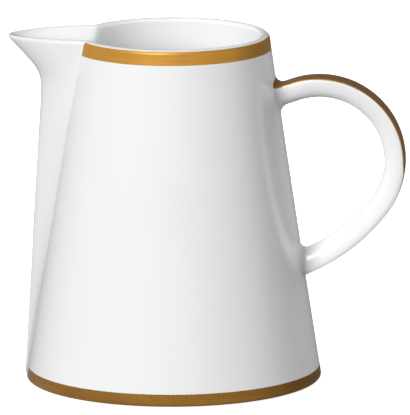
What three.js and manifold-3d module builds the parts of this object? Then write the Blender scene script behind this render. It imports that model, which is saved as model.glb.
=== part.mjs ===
// Porcelain cream jug. Millimetres, +Z up, standing on z = 0.
// The handle points along +X, the spout along -X, and y = 0 is the plane of symmetry.
import * as THREE from 'three'
import { mergeVertices } from 'three/addons/utils/BufferGeometryUtils.js'
import Module from 'manifold-3d'

// ---------------------------------------------------------------- driving dimensions

const JUG_HEIGHT = 95
const FOOT_RADIUS = 40.3       // the cone's outer radius, run down to the table
const RIM_RADIUS = 26.3
const WALL_FLARE = 0.18        // how far the wall hollows in from a straight cone at mid height
const WALL_THICKNESS = 2.6
const LIP_THICKNESS = 2.4
const WALL_BOTTOM = 0.3        // the wall stops just clear of the table; the foot ring carries it
const FOOT_EDGE = 1.0          // radius of the rounded outer edge of the foot

const CREASE_FOOT = 7.0        // half the width of the spout at the foot, from fold to fold
const CREASE_RIM = 12.9
const CREASE_SEAM_FOOT = 0.9   // how much narrower the spout is inside than outside
const CREASE_SEAM_RIM = 1.7
const RIDGE_FOOT = 40.8        // the ridge's distance from the axis at the foot
const RIDGE_LEAN = 0.066       // how far the ridge leans in for each millimetre of height
const THROAT_Z = 84.3          // where the ridge bends out towards the tip
const THROAT_SLOPE = 1.025     // how far it goes out for each millimetre of height above the bend
const THROAT_SOFTNESS = 1.6    // how gently it bends
const RIDGE_WALL_FOOT = 2.8    // wall thickness along the ridge
const RIDGE_WALL_TIP = 2.4
const LIP_DIP = 0.4            // the tip of the lip lies this much below the rim
const OPENING_Z = 60           // above this the pinched spout opens to a leaf
const PINCH = { high: 1.45, foot: 8.5, fall: 10.5 }  // how sharply the fin falls away to the folds
const LEAF = { power: 1.6, fullness: 0.65 }          // the shape of the opened lip, seen from above
const RIDGE_ROUND = { foot: 0.12, middle: 0.2, rim: 0.1 }

const FLOOR_BOTTOM = 3.2
const FLOOR_TOP = 5.8
const RING_OUTER = 37.0
const RING_INNER = 34.2
const RING_HEIGHT = 3.0
const RING_EDGE = 0.5

const HANDLE_WIDTH = 7.9
const HANDLE_DEPTH_MIN = 5.6   // at the outermost point of the ear
const HANDLE_DEPTH_TOP = 5.7   // towards the upper root
const HANDLE_DEPTH_END = 6.4   // towards the lower root
const HANDLE_START = { x: 27, z: 80.55, rise: 18.7 }
const HANDLE_LEAD = 5.9        // straight length at the upper root
const HANDLE_BENDS = [{ radius: 23.1, turn: 146 }, { radius: 54, turn: 27 }]
const HANDLE_TAIL = 10         // straight length at the lower root
const HANDLE_BURY = 6          // both ends start this far inside the wall and are cut back to it
const HANDLE_SHOULDER = 0.4    // depth of the straight edge beside the flat outer face
const HANDLE_BOW = { across: 0.8, inwards: 0.9 }     // powers of the bow's cosine and sine
const DEPTH_GROWTH = 1.4       // how fast the depth grows away from the outermost point
const JOINT_RADIUS = 2.4       // the slip fillet round each root of the handle
const JOINT_MIN = 0.3          // its thinnest edge

const RIM_GILDING = { low: 90.9, high: 94.0 }
const FOOT_GILDING = { low: 1.4, high: 3.8 }
const HANDLE_GILDING_WIDTH = 7.2
const GILDING_THICKNESS = 0.15
const GILDING_GAP = 0.06
const PIECE_GAP = 0.15

const WALL_STEPS = 60
const SPOUT_STEPS = 26
const FULL_TURN_STEPS = 72
const LOW_STEPS = 6            // rings of the walls below the throat
const SWEEP_STEPS = 5          // and where the throat sweeps out
const LIP_STEPS = 6
const FOOT_EDGE_STEPS = 3
const RING_EDGE_STEPS = 2
const BAND_STEPS = 2
const BOW_STEPS = 10
const STRAIGHT_STEPS = 6
const BEND_STEP = 5            // degrees of the handle's bends between two stations
const CUTTER_STEPS = 12
const ROOT_STEPS = 4           // finer stations within each station of the handle, for the joints
const ROOT_DEPTH = 2           // how far inside the wall the joints' stations start
const WELD = 1e-4              // vertices closer than this are one

// ---------------------------------------------------------------- finishes

const finish = (color, roughness, metalness) =>
  new THREE.MeshStandardMaterial({ color, roughness, metalness })
const GLAZED = finish(0xf4f4f2, 0.12, 0)
const BISCUIT = finish(0xe4e0d6, 0.8, 0)
const GILT = finish(0xb88432, 0.3, 0.9)

// ---------------------------------------------------------------- small helpers

const lerp = (a, b, t) => a + (b - a) * t
const range = (n) => Array.from({ length: n }, (_, i) => i)
const spread = (a, b, steps) => range(steps + 1).map((i) => lerp(a, b, i / steps))
const smooth = (t) => {
  const c = Math.min(Math.max(t, 0), 1)
  return c * c * (3 - 2 * c)
}
const radians = THREE.MathUtils.degToRad

const jug = new THREE.Group()

function addPiece(name, geometry, material) {
  const piece = new THREE.Mesh(geometry, material)
  piece.name = name
  jug.add(piece)
}

// Turns every face of a closed geometry outwards: its signed volume must be positive.
function facingOut(geometry) {
  const index = geometry.index.array
  const p = geometry.attributes.position
  const [a, b, c] = [new THREE.Vector3(), new THREE.Vector3(), new THREE.Vector3()]
  let volume = 0
  for (let i = 0; i < index.length; i += 3) {
    a.fromBufferAttribute(p, index[i])
    b.fromBufferAttribute(p, index[i + 1])
    c.fromBufferAttribute(p, index[i + 2])
    volume += a.dot(b.cross(c))
  }
  if (volume < 0) {
    for (let i = 0; i < index.length; i += 3) [index[i], index[i + 1]] = [index[i + 1], index[i]]
  }
  return geometry
}

// Carries a closed loop of `count` points through `stations` and caps both ends.
// place(i, j) gives loop point i at station j; `flat` is the loop laid out in its own plane.
function sweptLoop(count, stations, place, flat) {
  const points = []
  const faces = []
  for (let j = 0; j < stations; j += 1) {
    for (let i = 0; i < count; i += 1) points.push(...place(i, j).toArray())
  }
  for (let j = 0; j + 1 < stations; j += 1) {
    for (let i = 0; i < count; i += 1) {
      const next = (i + 1) % count
      const [a, b] = [j * count + i, j * count + next]
      faces.push(a, b, b + count, a, b + count, a + count)
    }
  }
  const last = (stations - 1) * count
  const clockwise = THREE.ShapeUtils.isClockWise(flat)
  for (const [u, v, w] of THREE.ShapeUtils.triangulateShape(flat, [])) {
    const cap = clockwise ? [u, w, v] : [u, v, w]
    faces.push(cap[0], cap[2], cap[1])
    faces.push(...cap.map((k) => last + k))
  }
  const geometry = new THREE.BufferGeometry()
  geometry.setAttribute('position', new THREE.Float32BufferAttribute(points, 3))
  geometry.setIndex(faces)
  return facingOut(geometry)
}

// ---------------------------------------------------------------- booleans

const wasm = await Module()
wasm.setup()

function toSolid(geometry) {
  const bare = geometry.clone()
  bare.deleteAttribute('normal')
  bare.deleteAttribute('uv')
  const merged = mergeVertices(bare, WELD)
  const mesh = new wasm.Mesh({
    numProp: 3,
    vertProperties: new Float32Array(merged.attributes.position.array),
    triVerts: new Uint32Array(merged.index.array),
  })
  return new wasm.Manifold(mesh)
}

function toGeometry(solid) {
  const mesh = solid.getMesh()
  const geometry = new THREE.BufferGeometry()
  geometry.setAttribute('position', new THREE.BufferAttribute(new Float32Array(mesh.vertProperties), 3))
  geometry.setIndex(new THREE.BufferAttribute(new Uint32Array(mesh.triVerts), 1))
  return geometry
}

// ---------------------------------------------------------------- the jug's surfaces

// Outer radius of the cone at height z: straight from foot to rim, hollowed a little.
function coneRadius(z) {
  const t = z / JUG_HEIGHT
  return lerp(FOOT_RADIUS, RIM_RADIUS, t) - 4 * WALL_FLARE * t * (1 - t)
}

// The same, on the inside when side is 1 and between the two faces for a value in between.
function wallRadius(z, side) {
  return coneRadius(z) - side * lerp(WALL_THICKNESS, LIP_THICKNESS, z / JUG_HEIGHT)
}

function creaseHalfWidth(z, side) {
  const t = z / JUG_HEIGHT
  return lerp(CREASE_FOOT, CREASE_RIM, t) - side * lerp(CREASE_SEAM_FOOT, CREASE_SEAM_RIM, t)
}

// The ridge leans in with height, then bends out to the tip: the integral of a logistic curve.
function ridgeReach(z, side) {
  const bend = Math.log1p(Math.exp((z - THROAT_Z) / THROAT_SOFTNESS))
  const sweep = THROAT_SLOPE * THROAT_SOFTNESS * bend
  const wall = lerp(RIDGE_WALL_FOOT, RIDGE_WALL_TIP, smooth(z / JUG_HEIGHT))
  return RIDGE_FOOT - RIDGE_LEAN * z + sweep - side * wall
}

// How much of the ridge's reach is left at s, which runs from 0 on the ridge to 1 at the fold.
// Low down the spout is pinched to a fin; at the rim it opens into a leaf.
function spoutShare(s, z) {
  const open = smooth((z - OPENING_Z) / (JUG_HEIGHT - OPENING_Z))
  const lowRound = lerp(RIDGE_ROUND.foot, RIDGE_ROUND.middle, smooth(z / OPENING_Z))
  const round = lerp(lowRound, RIDGE_ROUND.rim, open)
  const t = (Math.hypot(s, round) - round) / (Math.hypot(1, round) - round)
  const pinch = PINCH.high + PINCH.foot * Math.exp(-z / PINCH.fall)
  return Math.pow(Math.max(1 - Math.pow(t, lerp(1, LEAF.power, open)), 0), lerp(pinch, LEAF.fullness, open))
}

// A point of the spout: s runs from -1 to 1 across it, from fold to fold.
function spoutPoint(s, z, side) {
  const radius = wallRadius(z, side)
  const y = (creaseHalfWidth(z, side) - PIECE_GAP / 2) * s
  const reach = Math.max(ridgeReach(z, side) - radius, 0) * spoutShare(Math.abs(s), z)
  return new THREE.Vector3(-Math.sqrt(radius * radius - y * y) - reach, y, z)
}

// A point of the cone: v runs from -1 to 1 round it, from one fold past the handle to the other.
function wallPoint(v, z, side) {
  const radius = wallRadius(z, side)
  const fold = Math.asin((creaseHalfWidth(z, side) + PIECE_GAP / 2) / radius)
  const turn = v * (Math.PI - fold)
  return new THREE.Vector3(radius * Math.cos(turn), radius * Math.sin(turn), z)
}

// The height of the top of the spout's lip at s: it dips towards the tip.
function lipHeight(s) {
  return JUG_HEIGHT - LIP_DIP * spoutShare(Math.abs(s), JUG_HEIGHT) ** 2
}

// The section of a wall as a loop of { share, side, rise }: share of the height between the foot
// and the lip's shoulder, side from outer face 0 to inner face 1, rise above the shoulder.
function wallLoop(shares) {
  const shoulder = LIP_THICKNESS / 2
  const lip = spread(0, Math.PI, LIP_STEPS).slice(1, -1).map((angle) => ({
    share: 1, side: (1 - Math.cos(angle)) / 2, rise: shoulder * Math.sin(angle),
  }))
  const foot = spread(0, Math.PI / 2, FOOT_EDGE_STEPS).slice(0, -1).map((angle) => ({
    share: 0, side: (1 - Math.sin(angle)) * FOOT_EDGE / WALL_THICKNESS, rise: -FOOT_EDGE * Math.cos(angle),
  }))
  return [
    ...foot,
    ...shares.map((share) => ({ share, side: 0, rise: 0 })),
    ...lip,
    ...[...shares].reverse().map((share) => ({ share, side: 1, rise: 0 })),
    { share: 0, side: 1, rise: -FOOT_EDGE },
  ]
}

// Builds a wall from its loop: at(point, height, station) places one point.
function wallGeometry(loop, positions, topAt, pointAt) {
  const low = WALL_BOTTOM + FOOT_EDGE
  const heightOf = (node, top) => lerp(low, top - LIP_THICKNESS / 2, node.share) + node.rise
  const place = (i, j) => {
    const node = loop[i]
    const z = heightOf(node, topAt(positions[j]))
    return pointAt(positions[j], z, node.side)
  }
  const flat = loop.map((node) => new THREE.Vector2(-node.side * WALL_THICKNESS, heightOf(node, JUG_HEIGHT)))
  return sweptLoop(loop.length, positions.length, place, flat)
}

// ---------------------------------------------------------------- body wall and spout

// Both walls share one loop, close together where the throat sweeps out, so that the folds match.
const throat = THROAT_Z / JUG_HEIGHT
const lowShares = spread(0, throat, LOW_STEPS).slice(0, -1)
const section = wallLoop([...lowShares, ...spread(throat, 1, SWEEP_STEPS + 1)])
const roundCone = spread(-1, 1, WALL_STEPS)
const acrossSpout = spread(-1, 1, SPOUT_STEPS).map((t) => Math.sin(t * Math.PI / 2))
addPiece('body_wall', wallGeometry(section, roundCone, () => JUG_HEIGHT, wallPoint), GLAZED)
addPiece('spout_gusset', wallGeometry(section, acrossSpout, lipHeight, spoutPoint), GLAZED)

// ---------------------------------------------------------------- floor and foot ring

// A disc that follows the inside of the wall, from the axis out and back to the axis.
function floorGeometry() {
  const edge = (z) => wallRadius(z, 1) - PIECE_GAP
  const profile = [
    new THREE.Vector2(0, FLOOR_BOTTOM),
    new THREE.Vector2(edge(FLOOR_BOTTOM), FLOOR_BOTTOM),
    new THREE.Vector2(edge(FLOOR_TOP), FLOOR_TOP),
    new THREE.Vector2(0, FLOOR_TOP),
  ]
  return new THREE.LatheGeometry(profile, FULL_TURN_STEPS)
}

// A ring with rounded feet, as a profile that closes on itself.
function footRingGeometry() {
  const corner = (x, z, from) => spread(from, from + Math.PI / 2, RING_EDGE_STEPS).map(
    (angle) => new THREE.Vector2(x + RING_EDGE * Math.cos(angle), z + RING_EDGE * Math.sin(angle)))
  const profile = [
    ...corner(RING_INNER + RING_EDGE, RING_EDGE, Math.PI),
    ...corner(RING_OUTER - RING_EDGE, RING_EDGE, Math.PI * 1.5),
    new THREE.Vector2(RING_OUTER, RING_HEIGHT),
    new THREE.Vector2(RING_INNER, RING_HEIGHT),
  ]
  profile.push(profile[0].clone())
  return new THREE.LatheGeometry(profile, FULL_TURN_STEPS)
}

// Lathes turn about Y, so they are stood up along Z, and faced out.
function standUp(geometry) {
  geometry.rotateX(Math.PI / 2)
  geometry.deleteAttribute('normal')
  geometry.deleteAttribute('uv')
  return facingOut(mergeVertices(geometry, WELD))
}

addPiece('floor_disc', standUp(floorGeometry()), GLAZED)
addPiece('foot_ring', standUp(footRingGeometry()), BISCUIT)

// ---------------------------------------------------------------- handle

// The middle line of the handle's outer face, as stations { x, z, angle, length }: a short
// straight lead, then arcs that turn clockwise, then a straight tail. Both ends run into the wall.
function handleLine() {
  let angle = radians(HANDLE_START.rise)
  let [x, z, length] = [HANDLE_START.x, HANDLE_START.z, 0]
  const stations = []
  const note = () => stations.push({ x, z, angle, length })
  const advance = (step, turn) => {
    const middle = angle - turn / 2
    x += step * Math.cos(middle)
    z += step * Math.sin(middle)
    angle -= turn
    length += step
  }
  advance(-HANDLE_BURY, 0)
  note()
  const steps = [{ length: HANDLE_LEAD + HANDLE_BURY, turn: 0, count: STRAIGHT_STEPS }]
  for (const bend of HANDLE_BENDS) {
    const turn = radians(bend.turn)
    steps.push({ length: bend.radius * turn, turn, count: Math.round(bend.turn / BEND_STEP) })
  }
  steps.push({ length: HANDLE_TAIL, turn: 0, count: STRAIGHT_STEPS })
  for (const part of steps) {
    for (let i = 0; i < part.count; i += 1) {
      advance(part.length / part.count, part.turn / part.count)
      note()
    }
  }
  return stations
}

const handleStations = handleLine()
const handleLength = handleStations.at(-1).length

// The handle's depth, from its outer face inwards, is least at the outermost point of the ear.
function handleDepth(length) {
  const t = length / handleLength * 2 - 1
  const end = t < 0 ? HANDLE_DEPTH_TOP : HANDLE_DEPTH_END
  return lerp(HANDLE_DEPTH_MIN, end, Math.min(t * t * DEPTH_GROWTH, 1))
}

// The section is flat outside and round inside, as { across, inwards }, each grown by `extra`.
function handleSection(depth, extra) {
  const half = HANDLE_WIDTH / 2 + extra
  const deep = depth + extra - HANDLE_SHOULDER
  const bow = spread(0, Math.PI, BOW_STEPS).map((angle) => ({
    across: half * Math.sign(Math.cos(angle)) * Math.abs(Math.cos(angle)) ** HANDLE_BOW.across,
    inwards: HANDLE_SHOULDER + deep * Math.max(Math.sin(angle), 0) ** HANDLE_BOW.inwards,
  }))
  const edge = half - HANDLE_SHOULDER / 2
  const flatFace = [-edge, 0].map((across) => ({ across, inwards: -extra }))
  return [{ across: edge, inwards: -extra }, ...bow, ...flatFace]
}

function onHandle(station, across, inwards) {
  return new THREE.Vector3(
    station.x + inwards * Math.sin(station.angle), across, station.z - inwards * Math.cos(station.angle))
}

// Carries a section along part of the handle; extraAt(station) grows it.
function handleSweep(stations, extraAt) {
  const sections = stations.map((s) => handleSection(handleDepth(s.length), extraAt(s)))
  const place = (i, j) => onHandle(stations[j], sections[j][i].across, sections[j][i].inwards)
  const flat = sections[0].map((p) => new THREE.Vector2(p.across, p.inwards))
  return sweptLoop(sections[0].length, stations.length, place, flat)
}

// The cone as one solid, grown outwards, used to cut the handle and its joints back to the wall.
function coneSolid(extra) {
  const profile = [new THREE.Vector2(0, 0)]
  for (const z of spread(0, JUG_HEIGHT, CUTTER_STEPS)) {
    profile.push(new THREE.Vector2(coneRadius(z) + extra, z))
  }
  profile.push(new THREE.Vector2(0, JUG_HEIGHT))
  return toSolid(standUp(new THREE.LatheGeometry(profile, FULL_TURN_STEPS * 2)))
}

const bareHandle = toSolid(handleSweep(handleStations, () => 0))
addPiece('handle', toGeometry(bareHandle.subtract(coneSolid(PIECE_GAP))), GLAZED)

// How far a station of the handle's line stands off the wall.
const standOff = (station) => station.x - coneRadius(station.z)

// A slip fillet: a collar round the root, hollow like a quarter circle, cut by wall and handle.
function jointGeometry(stations) {
  const hollow = (station) => {
    const away = Math.min(Math.max(standOff(station), 0), JOINT_RADIUS)
    const gone = JOINT_RADIUS - away
    return Math.max(JOINT_RADIUS - Math.sqrt(JOINT_RADIUS ** 2 - gone ** 2), JOINT_MIN)
  }
  const collar = toSolid(handleSweep(stations, hollow))
  const gap = toSolid(handleSweep(handleStations, () => PIECE_GAP))
  return toGeometry(collar.subtract(gap).subtract(coneSolid(PIECE_GAP)))
}

// The stretch of the handle's line from inside the wall out to the edge of the fillet.
function rootStations(stations) {
  const between = (a, b, t) => ({
    x: lerp(a.x, b.x, t),
    z: lerp(a.z, b.z, t),
    angle: lerp(a.angle, b.angle, t),
    length: lerp(a.length, b.length, t),
  })
  const fine = stations.slice(0, -1).flatMap(
    (station, i) => range(ROOT_STEPS).map((k) => between(station, stations[i + 1], k / ROOT_STEPS)))
  return fine.filter((station) => standOff(station) >= -ROOT_DEPTH && standOff(station) <= JOINT_RADIUS)
}

const middle = Math.floor(handleStations.length / 2)
addPiece('handle_upper_joint', jointGeometry(rootStations(handleStations.slice(0, middle))), GLAZED)
addPiece('handle_lower_joint', jointGeometry(rootStations(handleStations.slice(middle))), GLAZED)

// ---------------------------------------------------------------- gilding

// A thin line round the cone between two heights, ending at the spout's folds.
function coneGilding({ low, high }) {
  const heights = spread(low, high, BAND_STEPS)
  const outer = heights.map((z) => ({ z, off: GILDING_GAP + GILDING_THICKNESS }))
  const inner = heights.map((z) => ({ z, off: GILDING_GAP })).reverse()
  const loop = [...outer, ...inner]
  const positions = spread(-1, 1, WALL_STEPS)
  const place = (i, j) => {
    const { z, off } = loop[i]
    const point = wallPoint(positions[j], z, 0)
    const radius = Math.hypot(point.x, point.y)
    return new THREE.Vector3(point.x * (1 + off / radius), point.y * (1 + off / radius), z)
  }
  const flat = loop.map(({ z, off }) => new THREE.Vector2(off, z))
  return sweptLoop(loop.length, positions.length, place, flat)
}

addPiece('rim_gilding', coneGilding(RIM_GILDING), GILT)
addPiece('foot_gilding', coneGilding(FOOT_GILDING), GILT)

// A thin strip along the handle's outer face, between the two slip fillets.
function handleGilding() {
  const clear = JOINT_RADIUS + 2 * PIECE_GAP
  const stations = handleStations.filter((s) => standOff(s) > clear)
  const half = HANDLE_GILDING_WIDTH / 2
  const outer = -(GILDING_GAP + GILDING_THICKNESS)
  const loop = [[half, -GILDING_GAP], [half, outer], [-half, outer], [-half, -GILDING_GAP]]
  const place = (i, j) => onHandle(stations[j], loop[i][0], loop[i][1])
  return sweptLoop(loop.length, stations.length, place, loop.map(([u, v]) => new THREE.Vector2(u, v)))
}

addPiece('handle_gilding', handleGilding(), GILT)

// The cone is modelled on x = 0; the jug is then moved so that it is centred over the origin.
const extent = new THREE.Box3().setFromObject(jug, true)
jug.position.x = -(extent.min.x + extent.max.x) / 2

export default jug
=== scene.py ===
"""A glazed porcelain cream jug with a folded spout, an ear handle and gilded lines.

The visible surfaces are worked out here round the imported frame. Lengths are in metres, +Z is
up, the handle points along +X, the spout along -X, and y = 0 is the plane of symmetry.
"""
import logging
import math
from dataclasses import dataclass, field
from enum import Enum
from typing import Optional, Sequence, Union

import bpy
import numpy as np
from mathutils import Matrix, Vector


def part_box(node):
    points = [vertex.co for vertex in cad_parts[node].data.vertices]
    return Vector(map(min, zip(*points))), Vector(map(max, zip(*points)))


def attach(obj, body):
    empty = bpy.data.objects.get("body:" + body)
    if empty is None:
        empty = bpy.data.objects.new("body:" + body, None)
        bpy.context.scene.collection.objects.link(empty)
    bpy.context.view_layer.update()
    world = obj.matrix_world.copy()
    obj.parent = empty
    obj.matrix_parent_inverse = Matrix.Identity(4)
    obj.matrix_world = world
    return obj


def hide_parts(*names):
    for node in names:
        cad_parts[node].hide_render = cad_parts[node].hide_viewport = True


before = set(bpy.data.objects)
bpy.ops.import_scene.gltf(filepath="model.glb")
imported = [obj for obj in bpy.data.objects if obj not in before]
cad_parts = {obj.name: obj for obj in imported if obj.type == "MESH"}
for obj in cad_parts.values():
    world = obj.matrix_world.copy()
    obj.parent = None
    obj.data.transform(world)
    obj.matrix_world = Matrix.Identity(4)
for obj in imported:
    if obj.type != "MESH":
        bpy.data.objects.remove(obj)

LOG = logging.getLogger("cream_jug")
MM = 0.001
BODY = "root"
TINY = 1e-12             # keeps a vector of no length from dividing by nought
GILT_EDGE_POWER = 8      # how squarely a gilded line keeps its height out to its edges
GILT_EDGE_SINK = 0.1     # share of its depth to which each edge goes under the glaze
Colour = tuple[float, float, float]


class Slot(Enum):
    """The record's material slots."""

    PORCELAIN = "porcelain"
    BISCUIT = "biscuit"
    GILDING = "gilding"


class Root(Enum):
    """The two ends of the handle, by the sign of the way out of the wall along its line."""

    UPPER = 1
    LOWER = -1


# ------------------------------------------------------------------ small mathematics


def smooth(t: np.ndarray) -> np.ndarray:
    """Eases from 0 to 1: three t squared less two t cubed, held at both ends.

    Args:
        t: Where on the way, 0 to 1.

    Returns:
        The eased share.
    """
    held = np.clip(t, 0.0, 1.0)
    return held * held * (3.0 - 2.0 * held)


def blend(a: Union[float, np.ndarray], b: Union[float, np.ndarray], t: np.ndarray) -> np.ndarray:
    """Straight line from a at t = 0 to b at t = 1.

    Args:
        a: Value at the start.
        b: Value at the end.
        t: Share of the way.

    Returns:
        The value in between.
    """
    return a + (b - a) * t


def unit(vectors: np.ndarray) -> np.ndarray:
    """Vectors of length one in the same directions."""
    return vectors / np.maximum(np.linalg.norm(vectors, axis=-1, keepdims=True), TINY)


def across_rows(values: np.ndarray, places: np.ndarray, wanted: np.ndarray) -> np.ndarray:
    """Reads each row of a grid at other places across it, in straight lines between columns.

    Args:
        values: Grid of shape (rows, columns, 3).
        places: Where the columns stand, rising.
        wanted: Where each row is read, (rows, points).

    Returns:
        Grid of shape (rows, points, 3).
    """
    right = np.clip(np.searchsorted(places, wanted), 1, len(places) - 1)
    share = (wanted - places[right - 1]) / (places[right] - places[right - 1])
    row = np.arange(len(values))[:, None]
    return blend(values[row, right - 1], values[row, right], share[..., None])


def sheet_normals(points: np.ndarray, closed: tuple[bool, bool]) -> np.ndarray:
    """Normals of a grid of points: the cross product of its two central differences.

    Args:
        points: Grid of shape (rows, columns, 3).
        closed: Whether the rows and the columns come back to where they began.

    Returns:
        Unit normals in the grid's shape.
    """
    steps = []
    for axis in (0, 1):
        if closed[axis]:
            steps.append(np.roll(points, -1, axis) - np.roll(points, 1, axis))
        else:
            steps.append(np.gradient(points, axis=axis))
    return unit(np.cross(steps[0], steps[1]))


# ------------------------------------------------------------------ skins and pieces


@dataclass
class Skin:
    """The closed surface of one piece.

    Attributes:
        points: Vertices, (n, 3).
        faces: Arrays of quads (m, 4) or triangles (m, 3).
        normals: Outward shading normals, (n, 3), or None to leave them to the faces.
        places: UV place of each vertex, (n, 2).
        pool: Painted shade at each vertex, 0 to 1: full in the folds, the floor's cove and at the
            handle's roots.
    """

    points: np.ndarray
    faces: list[np.ndarray]
    normals: Optional[np.ndarray]
    places: np.ndarray
    pool: np.ndarray

    def volume(self) -> float:
        """Signed volume: positive when the faces point outwards."""
        total = 0.0
        for faces in self.faces:
            for k in range(1, faces.shape[1] - 1):
                a, b, c = (self.points[faces[:, i]] for i in (0, k, k + 1))
                total += float(np.einsum("ij,ij->", a, np.cross(b, c)))
        return total / 6.0

    def outwards(self) -> "Skin":
        """The same skin with its faces and normals pointing out.

        Returns:
            This skin, turned if it was inside out.
        """
        if self.volume() < 0.0:
            self.faces = [faces[:, ::-1] for faces in self.faces]
        if self.normals is not None:
            faces = self.faces[0]
            a, b, c = (self.points[faces[:, i]] for i in (0, 1, 2))
            agreement = np.einsum("ij,ij->", np.cross(b - a, c - a), self.normals[faces[:, 0]])
            if agreement < 0.0:
                self.normals = -self.normals
        return self

    def to_object(self, name: str) -> bpy.types.Object:
        """Makes the mesh object and links it to the scene.

        Args:
            name: Name of the object and of its mesh.

        Returns:
            The new object, at the origin.
        """
        mesh = bpy.data.meshes.new(name)
        corners = np.concatenate([faces.ravel() for faces in self.faces]).astype(np.int32)
        totals = np.concatenate([np.full(len(faces), faces.shape[1]) for faces in self.faces])
        starts = np.concatenate([[0], np.cumsum(totals)[:-1]])
        mesh.vertices.add(len(self.points))
        mesh.vertices.foreach_set("co", self.points.astype(np.float32).ravel())
        mesh.loops.add(len(corners))
        mesh.loops.foreach_set("vertex_index", corners)
        mesh.polygons.add(len(totals))
        mesh.polygons.foreach_set("loop_start", starts.astype(np.int32))
        mesh.polygons.foreach_set("loop_total", totals.astype(np.int32))
        mesh.polygons.foreach_set("use_smooth", np.ones(len(totals), bool))
        layer = mesh.uv_layers.new(name="Surface")
        layer.data.foreach_set("uv", self.places[corners].astype(np.float32).ravel())
        # painted shade: the share by which each vertex is darkened in folds, coves and joints goes onto
        # the mesh
        pool = mesh.attributes.new("painted_hollow_shade", "FLOAT", "POINT")
        pool.data.foreach_set("value", self.pool.astype(np.float32))
        mesh.update(calc_edges=True)
        mesh.validate()
        if self.normals is not None:
            mesh.normals_split_custom_set_from_vertices(self.normals.tolist())
        thing = bpy.data.objects.new(name, mesh)
        bpy.context.scene.collection.objects.link(thing)
        return thing


def grid_places(rows: int, columns: int) -> np.ndarray:
    """UV places of a grid: u grows from row to row, v from column to column, both 0 to 1."""
    u, v = np.meshgrid(np.linspace(0, 1, rows), np.linspace(0, 1, columns), indexing="ij")
    return np.stack([u.ravel(), v.ravel()], axis=1)


def tube_skin(
    points: np.ndarray, normals: Optional[np.ndarray] = None, pool: Optional[np.ndarray] = None
) -> Skin:
    """Skin of a closed loop carried through stations, shut at both ends.

    The loop's points pair up, first with last and so on, and each end is a strip of quads
    between those pairs.

    Args:
        points: Grid (stations, loop points, 3), with an even number of loop points.
        normals: Shading normals of the grid, or None.
        pool: Painted shade on the grid, or None for none.

    Returns:
        The closed skin.
    """
    stations, count = points.shape[:2]
    index = np.arange(stations * count).reshape(stations, count)
    along, after = index[:-1], index[1:]
    beside, after_beside = np.roll(along, -1, 1), np.roll(after, -1, 1)
    sides = np.stack([along, beside, after_beside, after], axis=-1).reshape(-1, 4)
    k = np.arange(count // 2 - 1)
    pairs = np.stack([k, count - 1 - k, count - 2 - k, k + 1], axis=1)
    ends = np.concatenate([index[0][pairs], index[-1][pairs[:, ::-1]]])
    flat_hollow_shade = np.zeros(stations * count) if pool is None else pool.ravel()
    flat_normals = None if normals is None else normals.reshape(-1, 3)
    return Skin(
        points.reshape(-1, 3), [sides, ends], flat_normals, grid_places(stations, count), flat_hollow_shade
    ).outwards()


def ring_skin(points: np.ndarray) -> Skin:
    """Skin of a closed loop carried all the way round, so that it closes both ways.

    Args:
        points: Grid (stations, loop points, 3).

    Returns:
        The closed skin.
    """
    stations, count = points.shape[:2]
    index = np.arange(stations * count).reshape(stations, count)
    ahead, beside = np.roll(index, -1, 0), np.roll(index, -1, 1)
    faces = np.stack([index, beside, np.roll(ahead, -1, 1), ahead], axis=-1).reshape(-1, 4)
    normals = sheet_normals(points, (True, True)).reshape(-1, 3)
    pool = np.zeros(stations * count)
    return Skin(points.reshape(-1, 3), [faces], normals, grid_places(stations, count), pool).outwards()


def turned_skin(points: np.ndarray, poles: np.ndarray, pool: np.ndarray) -> Skin:
    """Skin of an open profile carried all the way round and closed by a pole at each end.

    Args:
        points: Grid (stations, profile points, 3), without the two poles.
        poles: The two pole points, (2, 3): before the first profile point, after the last.
        pool: Painted shade on the grid.

    Returns:
        The closed skin.
    """
    stations, count = points.shape[:2]
    index = np.arange(stations * count).reshape(stations, count)
    ahead = np.roll(index, -1, 0)
    quads = np.stack([index[:, :-1], index[:, 1:], ahead[:, 1:], ahead[:, :-1]], axis=-1)
    first, last = stations * count, stations * count + 1
    start = np.stack([np.full(stations, first), index[:, 0], ahead[:, 0]], axis=1)
    finish = np.stack([index[:, -1], np.full(stations, last), ahead[:, -1]], axis=1)
    every = np.concatenate([points.reshape(-1, 3), poles])
    places = np.concatenate([grid_places(stations, count), [[0.5, 0.0], [0.5, 1.0]]])
    depth = np.concatenate([pool.ravel(), [0.0, 0.0]])
    faces = [quads.reshape(-1, 4), np.concatenate([start, finish])]
    return Skin(every, faces, None, places, depth).outwards()


def ribbon_skin(sheet: np.ndarray, normals: np.ndarray, proud: float, sunk: float) -> Skin:
    """Skin of a thin gilded line laid on a sheet of points.

    The top stands proud by a height that falls to nothing at both edges, as one less the
    eighth power of the share of the way out from the middle; the underside is sunk.

    Args:
        sheet: Grid (stations along, points across, 3) on the glaze.
        normals: Outward normals of the grid.
        proud: Height of the top above the glaze.
        sunk: Depth of the underside below it.

    Returns:
        The closed skin.
    """
    edge = np.linspace(-1.0, 1.0, sheet.shape[1])[None, :, None] ** GILT_EDGE_POWER
    lift = proud * (1.0 - edge) - GILT_EDGE_SINK * sunk * edge
    top = sheet + normals * lift
    under = sheet - normals * sunk
    loop = np.concatenate([top, under[:, ::-1]], axis=1)
    shading = np.concatenate([normals, -normals[:, ::-1]], axis=1)
    return tube_skin(loop, shading)


def finish_piece(
    thing: bpy.types.Object, material: bpy.types.Material, nodes: Sequence[str]
) -> bpy.types.Object:
    """Dresses a piece, puts it on the jug's one body and says which CAD nodes it stands for.

    Args:
        thing: The piece.
        material: Its finish.
        nodes: CAD nodes that it replaces.

    Returns:
        The same piece.
    """
    thing.data.materials.append(material)
    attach(thing, BODY)
    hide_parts(*nodes)
    LOG.info("%s: %d faces, for %s", thing.name, len(thing.data.polygons), ", ".join(nodes))
    return thing


# ------------------------------------------------------------------ shader mathematics


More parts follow.
